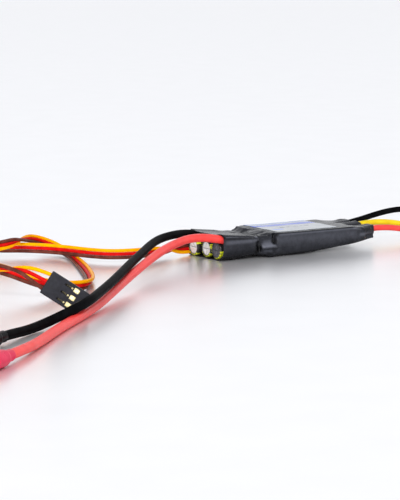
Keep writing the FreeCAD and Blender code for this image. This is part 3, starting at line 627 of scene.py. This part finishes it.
for (colour, route), length, material in zip(
    MOTOR_ROUTES.items(), (0.0588, 0.068, 0.083), (SILICONE_RED, SILICONE_YELLOW, SILICONE_BLACK)
):
    piece = wire(f"motor_wire_{colour}", route, MOTOR_RADIUS, material, f"wire_{colour}")
    on_it = [
        bullet_socket(f"motor_bullet_{colour}", route),
        shrink_sleeve(f"motor_sleeve_{colour}", route, MOTOR_RADIUS, *MOTOR_SLEEVE, SHRINK_GREY,
                      "shrink_black"),
    ]

for number, (name, (place, material, slot, length)) in enumerate(SERVO_STRANDS.items(), start=1):
    strand = [tuple(a + place * b for a, b in zip(at, step)) for at, step in SERVO_ROUTE]
    piece = wire(name, strand, SERVO_RADIUS, material, slot)
    on_it = [NODES[f"servo_contact_{number}"]]
    if place == 0:
        on_it.append(NODES["servo_plug_housing"])

# ---------------------------------------------------------------------------------------------
# Heat-shrink jacket
# ---------------------------------------------------------------------------------------------

# along X: near side, far side, base, top, upper round, lower round
FILM_STATIONS = np.array([
    (-34.3, -12.1, 11.4, 0.1, 9.3, 1.9, 4.6),
    (-31.0, -12.3, 11.8, 0.0, 8.9, 1.5, 4.8),
    (-26.0, -12.3, 11.8, 0.3, 8.35, 1.3, 4.6),
    (-22.5, -12.2, 11.6, 0.9, 8.1, 1.2, 4.0),
    (-20.0, -12.0, 11.4, 1.3, 7.85, 1.2, 3.2),
    (-17.2, -12.3, 11.7, 1.1, 7.85, 1.2, 2.2),
    (-13.4, -12.5, 12.3, 0.5, 8.35, 1.1, 1.5),
    (-11.2, -12.5, 12.5, 0.3, 8.88, 0.7, 1.3),
    (-9.6, -12.5, 12.5, 0.3, 8.85, 0.7, 1.4),
    (-4.0, -12.5, 12.5, 0.3, 8.65, 0.8, 1.6),
    (12.0, -12.5, 12.5, 0.9, 8.6, 0.9, 1.8),
    (24.0, -12.4, 12.4, 1.9, 8.55, 0.9, 1.8),
    (26.4, -12.1, 12.1, 2.1, 8.1, 1.4, 1.8),
    (30.0, -11.3, 11.5, 2.5, 7.9, 1.9, 1.5),
    (33.0, -10.4, 10.9, 2.9, 8.0, 2.0, 1.2),
    (35.5, -9.9, 10.5, 3.1, 8.2, 1.9, 1.0),
])
# how far to either side of a place the sizes are averaged, to ease the change from one to the next
EASING = (-0.8, -0.4, 0.0, 0.4, 0.8)
# how many points lie on each side and corner of a ring
SIDE_POINTS, CORNER_POINTS = (56, 26, 44, 26), 9
FILM_WALL = 0.32
LIP_ROUND = 0.09
# the far lower edge is squarer beside the capacitors, where the servo lead runs: its round there,
# and where along X it changes to the usual one
SQUARER = 1.2
SQUARER_UNTIL = (-17.0, -13.0)


def film_station(x):
    """The film's section sizes at a place along X, eased between the stations."""
    places, *sizes = FILM_STATIONS.T
    samples = [[np.interp(x + shift, places, size) for shift in EASING] for size in sizes]
    return np.array(samples).mean(1)


def film_ring(x):
    """One ring of the film: top, near side, underside and far side, with a round between each two."""
    near, far, base, top, upper, lower = film_station(x)
    beside = float(np.interp(x, SQUARER_UNTIL, (SQUARER, lower)))
    corners = (
        ((near + upper, top - upper), upper, 90),
        ((near + lower, base + lower), lower, 180),
        ((far - beside, base + beside), beside, 270),
        ((far - upper, top - upper), upper, 0),
    )
    sides = (
        ((far - upper, top), (near + upper, top)),
        ((near, top - upper), (near, base + lower)),
        ((near + lower, base), (far - beside, base)),
        ((far, base + beside), (far, top - upper)),
    )
    ring = []
    for (start, end), count, (centre, radius, first) in zip(sides, SIDE_POINTS, corners):
        for step in range(count):
            share = step / count
            ring.append((x, start[0] + (end[0] - start[0]) * share, start[1] + (end[1] - start[1]) * share))
        for step in range(CORNER_POINTS):
            turn = math.radians(first + 90 * step / CORNER_POINTS)
            ring.append((x, centre[0] + radius * math.cos(turn), centre[1] + radius * math.sin(turn)))
    return ring


def distances(points, start, end):
    """How far each point is from a line between two places."""
    start, line = np.array(start), np.array(end) - np.array(start)
    along = np.clip((points - start) @ line / (line @ line), 0, 1)
    return np.linalg.norm(points - start - along[:, None] * line, axis=1)


def fold(points, start, end, width, push, power):
    """Pushes the points near a line from start to end; a low power makes a sharp crease."""
    share = np.exp(-((distances(points, start, end) / width) ** power))
    return points + share[:, None] * np.array(push)


# lines pressed in or drawn out of the film: start, end, width, push, sharpness
FOLDS = [
    # the deep tuck behind the capacitors on the near side, after the pleats on either side of it
    ((-22.2, -12.2, 6.6), (-21.6, -12.2, 2.6), 0.8, (0.0, -0.3, 0.0), 2.0),
    ((-18.1, -12.2, 6.4), (-17.2, -12.2, 4.0), 0.45, (-0.2, -0.45, 0.0), 1.8),
    ((-19.4, -12.1, 5.6), (-18.7, -12.1, 1.6), 0.85, (0.35, 0.9, 0.0), 2.4),
    # the ridge under the facet, running out along the block, and the film drawn in beneath it
    ((-11.8, -12.5, 3.9), (-4.0, -12.5, 3.6), 0.6, (0.0, -0.3, 0.0), 1.5),
    ((-17.0, -12.2, 2.2), (-12.4, -12.4, 2.2), 0.8, (0.0, 0.5, 0.0), 2.0),
    # the pocket beside the block's near corner
    ((-12.0, -12.2, 8.9), (-12.1, -12.4, 5.8), 0.8, (0.1, 1.9, -0.2), 2.0),
    ((-13.6, -10.8, 8.5), (-13.2, -12.0, 8.4), 0.7, (0.0, 0.3, -0.8), 1.8),
    # gathers fanning up the ramp
    ((-20.0, -11.3, 8.1), (-14.4, -11.0, 8.2), 0.45, (0.0, 0.0, 0.32), 1.6),
    ((-20.0, -9.4, 8.0), (-13.4, -9.2, 8.3), 0.5, (0.0, 0.0, -0.3), 1.6),
    ((-20.5, -7.4, 8.0), (-12.8, -7.8, 8.4), 0.6, (0.0, 0.0, 0.22), 1.6),
    ((-20.0, -4.4, 7.9), (-13.0, -5.4, 8.3), 0.7, (0.0, 0.0, -0.26), 1.6),
    ((-20.5, -0.6, 7.9), (-12.8, -1.6, 8.3), 0.9, (0.0, 0.0, 0.14), 1.8),
    ((-20.0, 4.0, 7.9), (-13.2, 3.0, 8.3), 1.0, (0.0, 0.0, -0.25), 1.8),
    ((-22.0, 9.4, 7.9), (-14.4, 10.2, 8.2), 1.6, (0.0, 0.0, -0.35), 1.8),
    ((-16.2, 1.0, 8.0), (-15.8, 12.0, 8.0), 1.2, (0.0, 0.0, -0.40), 1.8),
    ((-13.4, 5.0, 8.3), (-13.0, 12.0, 8.2), 0.9, (0.0, 0.0, 0.50), 2.0),
    # the film lifted over the battery wires
    ((-34.0, -9.4, 9.2), (-18.6, -9.2, 8.0), 1.7, (0.0, 0.0, 0.6), 2.2),
    ((-34.0, 9.2, 9.2), (-18.6, 9.0, 8.0), 1.7, (0.0, 0.0, 0.45), 2.2),
    # hems along the neck's upper edges, and the hollows between the capacitors
    ((-33.0, -11.1, 9.0), (-20.8, -11.3, 8.2), 0.35, (0.0, 0.1, -0.32), 1.6),
    ((-34.0, 3.3, 9.2), (-22.0, 3.2, 8.2), 1.3, (0.0, 0.0, -0.16), 2.0),
    ((-34.0, -3.3, 9.2), (-22.0, -3.2, 8.2), 1.3, (0.0, 0.0, -0.14), 2.0),
    ((-34.0, -7.6, 9.2), (-23.0, -8.0, 8.3), 1.0, (0.0, 0.0, 0.08), 2.0),
    # dents under the neck and the small lump beside them
    ((-27.2, -11.8, 0.7), (-25.9, -12.2, 1.3), 0.7, (0.0, 0.9, 0.5), 1.8),
    ((-14.4, -11.6, 0.6), (-13.2, -11.8, 0.5), 0.9, (0.0, -0.3, -0.45), 2.0),
    ((-8.6, -12.5, 2.2), (-6.8, -12.5, 1.4), 0.9, (0.0, 0.4, 0.1), 2.0),
    # long soft waves on the block's near side
    ((-9.0, -12.5, 4.4), (6.0, -12.5, 3.9), 0.8, (0.0, -0.10, 0.0), 1.6),
    ((2.0, -12.5, 5.8), (20.0, -12.5, 5.2), 1.2, (0.0, 0.12, 0.0), 2.0),
    ((8.0, -12.5, 3.2), (24.0, -12.4, 3.6), 0.9, (0.0, -0.10, 0.0), 2.0),
    # the far side's tuck
    ((-20.2, 11.5, 6.8), (-19.9, 11.5, 5.6), 0.9, (0.4, -0.6, 0.0), 2.2),
    # the underside let down round the servo lead, the inductor and the gate drivers
    ((-18.6, -5.4, 1.2), (-18.6, -1.0, 1.2), 1.8, (0.0, 0.0, -0.6), 2.4),
    ((6.0, -8.6, 0.7), (6.0, 6.6, 0.7), 2.8, (0.0, 0.0, -0.5), 3.0),
    ((-31.0, 10.2, 0.4), (-15.0, 7.8, 1.0), 2.1, (0.0, 0.0, -1.2), 3.0),
    # the far side's pocket
    ((-13.2, 12.2, 7.6), (-12.6, 12.4, 5.4), 0.9, (0.2, -1.3, -0.3), 1.8),
    # the film drawn down between the motor wires and stretched over them
    ((28.5, -3.6, 7.9), (36.5, -3.6, 8.2), 1.1, (0.0, 0.0, -1.1), 2.0),
    ((28.5, 3.9, 7.9), (36.5, 3.9, 8.2), 1.1, (0.0, 0.0, -1.0), 2.0),
    ((29.5, -7.2, 7.9), (36.5, -7.2, 8.2), 1.5, (0.0, 0.0, -0.25), 2.0),
    ((29.5, 0.1, 7.9), (36.5, 0.1, 8.2), 1.4, (0.0, 0.0, 0.45), 2.0),
    ((33.4, 9.0, 8.0), (35.4, 10.6, 7.7), 1.5, (0.0, 0.0, 0.35), 2.0),
    ((31.0, -10.8, 4.2), (36.0, -10.0, 4.2), 0.8, (0.0, 0.9, 0.0), 2.0),
    ((29.0, -11.2, 6.9), (33.0, -10.5, 6.9), 0.9, (0.0, -0.5, 0.1), 2.0),
]

# lines of painted highlights on the film (above 0), partly the paling of film drawn tight, and of painted
# shade in its creases, hollows and mouth (below 0): start, end, width, amount
PAINTED_LIGHT_AND_SHADE = [
    ((-34.3, -11.6, 8.6), (-34.4, -9.0, 9.7), 0.8, -1.0),
    ((-34.4, -9.0, 9.7), (-34.3, 10.6, 9.6), 0.8, -1.0),
    ((-33.0, -12.3, 6.9), (-20.5, -12.3, 6.9), 0.75, 0.42),
    ((-33.0, -11.5, 8.9), (-20.0, -11.4, 8.2), 0.35, 0.6),
    ((-20.0, -11.3, 8.1), (-16.8, -11.6, 7.3), 0.35, 0.6),
    ((-17.6, -12.6, 4.3), (-12.4, -12.7, 4.4), 0.55, 0.9),
    ((-17.2, -12.1, 5.1), (-12.6, -12.2, 5.3), 0.7, 0.75),
    ((-16.2, -11.6, 6.1), (-13.2, -11.6, 6.2), 0.6, 0.5),
    ((-18.9, -12.2, 7.0), (-17.2, -12.5, 4.4), 0.34, 0.8),
    ((-17.4, -12.0, 2.9), (-13.6, -12.2, 2.3), 0.6, 0.25),
    ((-10.6, -12.5, 8.1), (26.0, -12.3, 7.9), 0.35, 0.4),
    ((-10.6, -12.5, 6.4), (24.0, -12.4, 6.0), 1.5, 0.22),
    ((27.4, -11.9, 5.3), (34.5, -10.4, 4.9), 0.55, 0.5),
    ((24.0, -12.3, 8.0), (27.6, -11.9, 7.4), 0.45, 0.35),
    ((-19.3, -12.0, 5.3), (-18.6, -11.6, 3.4), 0.95, -1.0),
    ((-19.3, -11.8, 3.0), (-18.6, -11.8, 1.4), 0.95, -0.9),
    ((-13.0, -11.6, 8.4), (-10.9, -12.0, 8.2), 0.5, -1.0),
    ((-12.2, -11.0, 7.8), (-12.1, -11.6, 5.8), 0.75, -1.0),
    ((-33.0, -12.0, 8.3), (-20.2, -12.1, 7.75), 0.32, -0.7),
    ((-10.6, -12.1, 8.85), (26.0, -12.0, 8.5), 0.28, -0.8),
    ((-33.0, -10.9, 2.8), (-20.5, -11.6, 2.8), 2.1, -0.6),
    ((-12.0, -12.3, 1.6), (26.0, -12.2, 3.0), 0.8, -0.45),
    ((-15.0, -12.0, 1.6), (-13.4, -12.1, 1.2), 0.5, -0.9),
    ((29.6, -11.5, 7.2), (34.5, -10.5, 7.0), 0.9, -0.7),
    ((28.0, -11.4, 3.6), (34.5, -10.2, 3.6), 0.6, -0.6),
]


def ease(value, low, high):
    """0 below low, 1 above high, and a smooth rise between."""
    share = np.clip((value - low) / (high - low), 0, 1)
    return share * share * (3 - 2 * share)


# the shelf's ends along X, its foot and top, the ridge under it, and how much it leans
SHELF_START, SHELF_END = (-18.6, -17.7), (-12.3, -11.4)
SHELF_HEIGHTS = (4.0, 6.7)
SHELF_DEPTH = 1.45
SHELF_LEAN = 0.22
RIDGE_HEIGHT, RIDGE_WIDTH, RIDGE_REACH = 3.9, 0.6, 0.75
NEAR_SIDE = -9.5


def facet(points):
    """The sloped shelf pinched into the near side, where the neck meets the block."""
    x, y, z = points.T
    upright = x + (z - RIDGE_HEIGHT) * SHELF_LEAN
    span = ease(upright, *SHELF_START) * (1 - ease(upright, *SHELF_END))
    ridge = RIDGE_REACH * np.exp(-(((z - RIDGE_HEIGHT) / RIDGE_WIDTH) ** 2))
    drawn = SHELF_DEPTH * ease(z, *SHELF_HEIGHTS) - ridge
    moved = points.copy()
    moved[:, 1] += np.where(y < NEAR_SIDE, span * drawn, 0)
    return moved


# the jacket's two ends, where the neck's ramp and the tail begin, and the gap between rings in each part
MOUTH, RAMP_TOP, TAIL, TAIL_END = -34.3, -10.5, 24.0, 35.5
RING_GAPS = (0.24, 0.5, 0.28)
# heights of the broad ripples, the fine crinkles, and the pleats gathered round one place along X
RIPPLE, CRINKLE, PLEAT = 0.09, 0.018, 0.10
GATHERED_AT, GATHERED_OVER = -17.5, 4.5
FILM_MIDDLE = 4.4
# how far the mouth waves, and over what length; the same for the tail, and the notch in its middle
MOUTH_WAVE, MOUTH_FADE = 0.22, 2.5
TAIL_WAVE, TAIL_FADE = 0.4, 3.0
NOTCH_DEPTH, NOTCH_AT, NOTCH_WIDTH = 1.7, 0.4, 2.4
TABLE_GAP = 0.02


def wrinkled(point):
    """A point of the film, moved by the small creases and the uneven ends that shrinking leaves."""
    x, y, z = point
    ripple = noise.noise(Vector((x * 0.16, y * 0.5, z * 0.55))) * RIPPLE
    crinkle = noise.noise(Vector((x * 0.5, y * 1.3, z * 1.4 + 7.0))) * CRINKLE
    gathered = math.exp(-((x - GATHERED_AT) / GATHERED_OVER) ** 2)
    pleat = noise.noise(Vector((x * 0.35 + y * 0.12, y * 0.9, z * 0.9 + 3.0))) * PLEAT * gathered
    outward = np.array((0.0, y * 0.35, z - FILM_MIDDLE))
    outward /= max(np.linalg.norm(outward), 1e-6)
    mouth = MOUTH_WAVE * math.sin(y * 0.9 + z * 0.5) * max(0.0, 1 - (x - MOUTH) / MOUTH_FADE)
    notch = NOTCH_DEPTH * math.exp(-(((y - NOTCH_AT) / NOTCH_WIDTH) ** 2))
    tail = (TAIL_WAVE * math.cos(y * 0.86) - notch) * max(0.0, 1 - (TAIL_END - x) / TAIL_FADE)
    return np.array(point) + outward * (ripple + crinkle + pleat) + np.array((mouth + tail, 0.0, 0.0))


def film_points():
    """All rings of the film with its folds and creases, and how many points each ring has."""
    ends = ((MOUTH, RAMP_TOP), (RAMP_TOP, TAIL), (TAIL, TAIL_END + 0.1))
    places = np.concatenate([np.arange(*span, gap) for span, gap in zip(ends, RING_GAPS)])
    points = facet(np.array([film_ring(x) for x in places]).reshape(-1, 3))
    for start, end, width, push, power in FOLDS:
        points = fold(points, start, end, width, push, power)
    points = np.array([wrinkled(point) for point in points])
    points[:, 2] = np.maximum(points[:, 2], TABLE_GAP)
    return points, len(places), len(points) // len(places)


def painted_light_and_shade_at(points):
    """How much light (up to 1) and how much shade (down to -1) is painted into the film at each point, from
    -1 to 1.
    """
    amounts = np.zeros(len(points))
    for start, end, width, amount in PAINTED_LIGHT_AND_SHADE:
        amounts += amount * np.exp(-((distances(points, start, end) / width) ** 2))
    return np.clip(amounts, -1, 1)


def film_jacket():
    """The film as one wall, open at both ends, with rolled edges."""
    points, rings, count = film_points()
    faces = grid_faces(rings, count, True)
    piece = mesh_piece("heat_shrink_jacket", points, faces, FILM)
    # the "stretch" attribute holds the amounts of painted light and painted shade
    stretch = piece.data.attributes.new("stretch", "FLOAT", "POINT")
    stretch.data.foreach_set("value", painted_light_and_shade_at(points).astype(np.float32))
    wall = piece.modifiers.new("wall", "SOLIDIFY")
    wall.thickness = FILM_WALL * MM
    wall.offset = -1.0
    wall.use_rim = True
    lips = piece.modifiers.new("lips", "BEVEL")
    lips.width = LIP_ROUND * MM
    lips.segments = 2
    lips.limit_method = "ANGLE"
    lips.angle_limit = math.radians(60.0)
    settle(piece, "jacket", "heat_shrink_jacket")
    return BVHTree.FromPolygons([tuple(point) for point in points], faces)


film_surface = film_jacket()


LABEL_GRID = (90, 64)
LABEL_CORNER = 1.0
LABEL_THICKNESS = 0.08
# how high above the film the label lies, and where the search for the film starts
LABEL_LIFT, ABOVE_ALL = 0.05, 20.0


def label(surface):
    """The printed label, lying on the film and turned down over the far edge."""
    low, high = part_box("label")
    front, near = low.x / MM, low.y / MM
    length, width = (high.x - low.x) / MM, (high.y - low.y) / MM
    columns, rows = LABEL_GRID
    points = []
    for row in range(rows + 1):
        y = near + width * row / rows
        short = max(0.0, LABEL_CORNER - (y - near))
        inset = LABEL_CORNER - math.sqrt(max(0.0, LABEL_CORNER ** 2 - short ** 2))
        for column in range(columns + 1):
            x = front + inset + (length - 2 * inset) * column / columns
            hit = surface.ray_cast(Vector((x, y, ABOVE_ALL)), Vector((0, 0, -1)))[0]
            points.append((x, y, hit.z + LABEL_LIFT))
    piece = mesh_piece("label", points, grid_faces(rows + 1, columns + 1, False), label_face(front, near))
    thick = piece.modifiers.new("thickness", "SOLIDIFY")
    thick.thickness = LABEL_THICKNESS * MM
    thick.offset = 1.0
    settle(piece, "label", "label")


label(film_surface)

# ---------------------------------------------------------------------------------------------
# Capacitors
# ---------------------------------------------------------------------------------------------

CAN_SEGMENTS = 120
FACE_RINGS = 23
FACE_RADIUS = 2.5
# the vent's cross: how far its arms reach, how deep and how wide they are scored
VENT_REACH, VENT_DEPTH, VENT_WIDTH = 2.0, 0.24, 0.16
FACE_UNEVENNESS = 0.02
# the printed dashes: marks in each repeat round the sleeve, which of them are long and short, and
# the rings of faces that each covers
MARK_REPEAT = 9
LONG_MARKS, LONG_RINGS = range(0, 5), range(2, 10)
SHORT_MARKS, SHORT_RINGS = range(6, 8), range(4, 9)


def barrel_of(name):
    """A capacitor node's front centre and length."""
    low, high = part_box(name)
    centre = (low.x / MM, (low.y + high.y) / 2 / MM, (low.z + high.z) / 2 / MM)
    return centre, (high.x - low.x) / MM


def capacitor_can(number, metal):
    """An aluminium can: rolled rim, scored vent in its end, crimped groove near its foot."""
    start, long = barrel_of(f"capacitor_can_{number}")
    face = [(0.10, FACE_RADIUS * step / (FACE_RINGS - 1)) for step in range(FACE_RINGS)]
    profile = [*face, (0.02, 2.6), (-0.02, 2.72), (0.03, 2.88), (0.2, 2.97), (0.5, 2.98),
               (long - 2.2, 2.98), (long - 1.8, 2.75), (long - 1.4, 2.98), (long, 2.9)]
    points, faces = lathe(profile, start, (1, 0, 0), CAN_SEGMENTS)
    scored = []
    for index, point in enumerate(points):
        if index // CAN_SEGMENTS < FACE_RINGS:
            across, up = point.y - start[1], point.z - start[2]
            arms = min(abs(across), abs(up)) if math.hypot(across, up) < VENT_REACH else math.inf
            score = VENT_DEPTH * math.exp(-((arms / VENT_WIDTH) ** 2))
            point.x += score + FACE_UNEVENNESS * noise.noise(point * 1.5)
        scored.append(point)
    settle(mesh_piece(f"capacitor_can_{number}", scored, faces, metal), "capacitor_can",
           f"capacitor_can_{number}")


def capacitor_sleeve(number, first_mark, sectors):
    """A shrunk black sleeve, turned in over the can's rim, with plain yellow dashes printed round it."""
    start, long = barrel_of(f"capacitor_sleeve_{number}")
    lip = [(0.09, 2.50), (0.02, 2.54), (-0.02, 2.62), (0.0, 2.76), (0.05, 2.90), (0.15, 3.02), (0.30, 3.10),
           (0.50, 3.14), (0.9, 3.15), (1.3, 3.15), (1.7, 3.15), (2.1, 3.15), (2.5, 3.15)]
    profile = [*lip, (long - 2.3, 3.15), (long - 1.9, 3.02), (long - 1.5, 3.15), (long, 3.13), (long, 3.0)]
    points, faces = lathe(profile, start, (1, 0, 0), CAN_SEGMENTS)
    piece = mesh_piece(f"capacitor_sleeve_{number}", points, faces, SLEEVE_BLACK, SLEEVE_PRINT)
    for index, polygon in enumerate(piece.data.polygons):
        ring, segment = divmod(index, CAN_SEGMENTS)
        mark = (segment + first_mark) % MARK_REPEAT
        dash = mark in LONG_MARKS and ring in LONG_RINGS or mark in SHORT_MARKS and ring in SHORT_RINGS
        middle = polygon.center / MM
        turn = math.degrees(math.atan2(middle.z - start[2], start[1] - middle.y)) % 360
        printed = any(first <= turn <= last for first, last in sectors)
        polygon.material_index = 1 if dash and printed else 0
    settle(piece, "capacitor_sleeve", f"capacitor_sleeve_{number}")


# each capacitor: its end's finish, where its dashes start, and the arcs they run over, in degrees
# turned from the near side upwards
CAPACITORS = (
    (1, ALUMINIUM, 4, ((195, 320), (20, 60))),
    (2, ALUMINIUM, 0, ((205, 330), (0, 40), (140, 165))),
    # the third capacitor's end takes the aluminium with painted shade
    (3, ALUMINIUM_PAINTED_SHADE, 2, ((150, 195), (255, 360))),
)
for number, metal, first_mark, sectors in CAPACITORS:
    capacitor_can(number, metal)
    capacitor_sleeve(number, first_mark, sectors)

# ---------------------------------------------------------------------------------------------
# The CAD's own pieces that show or lie inside
# ---------------------------------------------------------------------------------------------

NODE_FINISHES = {
    RUBBER: ("capacitor_bung_1", "capacitor_bung_2", "capacitor_bung_3"),
    TINNED: ("capacitor_leads",),
    SPREADER: ("heat_spreader",),
    PAD: ("thermal_pad",),
    LAMINATE: ("power_board", "control_board"),
    GOLD: ("board_link_pins",),
    CONTACT: ("servo_contact_1", "servo_contact_2", "servo_contact_3"),
    EPOXY: ("high_side_transistors", "low_side_transistors", "microcontroller", "gate_drivers",
            "supply_regulators", "supply_inductor", "chip_resistors"),
    CERAMIC: ("resonator", "ceramic_capacitors"),
    COPPER: ("positive_bus_bar", "negative_bus_bar"),
    SOLDER: ("battery_solder_joints", "motor_solder_joints", "servo_solder_joints"),
    PLUG_PLASTIC: ("servo_plug_housing",),
}
WELD_REACH = 0.001
# how far the edges of the pieces that show are eased
EASED = {"servo_plug_housing": 0.22, "servo_contact_1": 0.05, "servo_contact_2": 0.05,
         "servo_contact_3": 0.05, "heat_spreader": 0.15, "power_board": 0.05, "control_board": 0.05}

for material, names in NODE_FINISHES.items():
    for name in names:
        thing = NODES[name]
        thing.data.materials.clear()
        thing.data.materials.append(material)
        if name in EASED:
            weld = thing.modifiers.new("weld", "WELD")
            weld.merge_threshold = WELD_REACH * MM
            edges = thing.modifiers.new("edges", "BEVEL")
            edges.width = EASED[name] * MM
            edges.segments = 3
            edges.limit_method = "ANGLE"
            edges.harden_normals = True
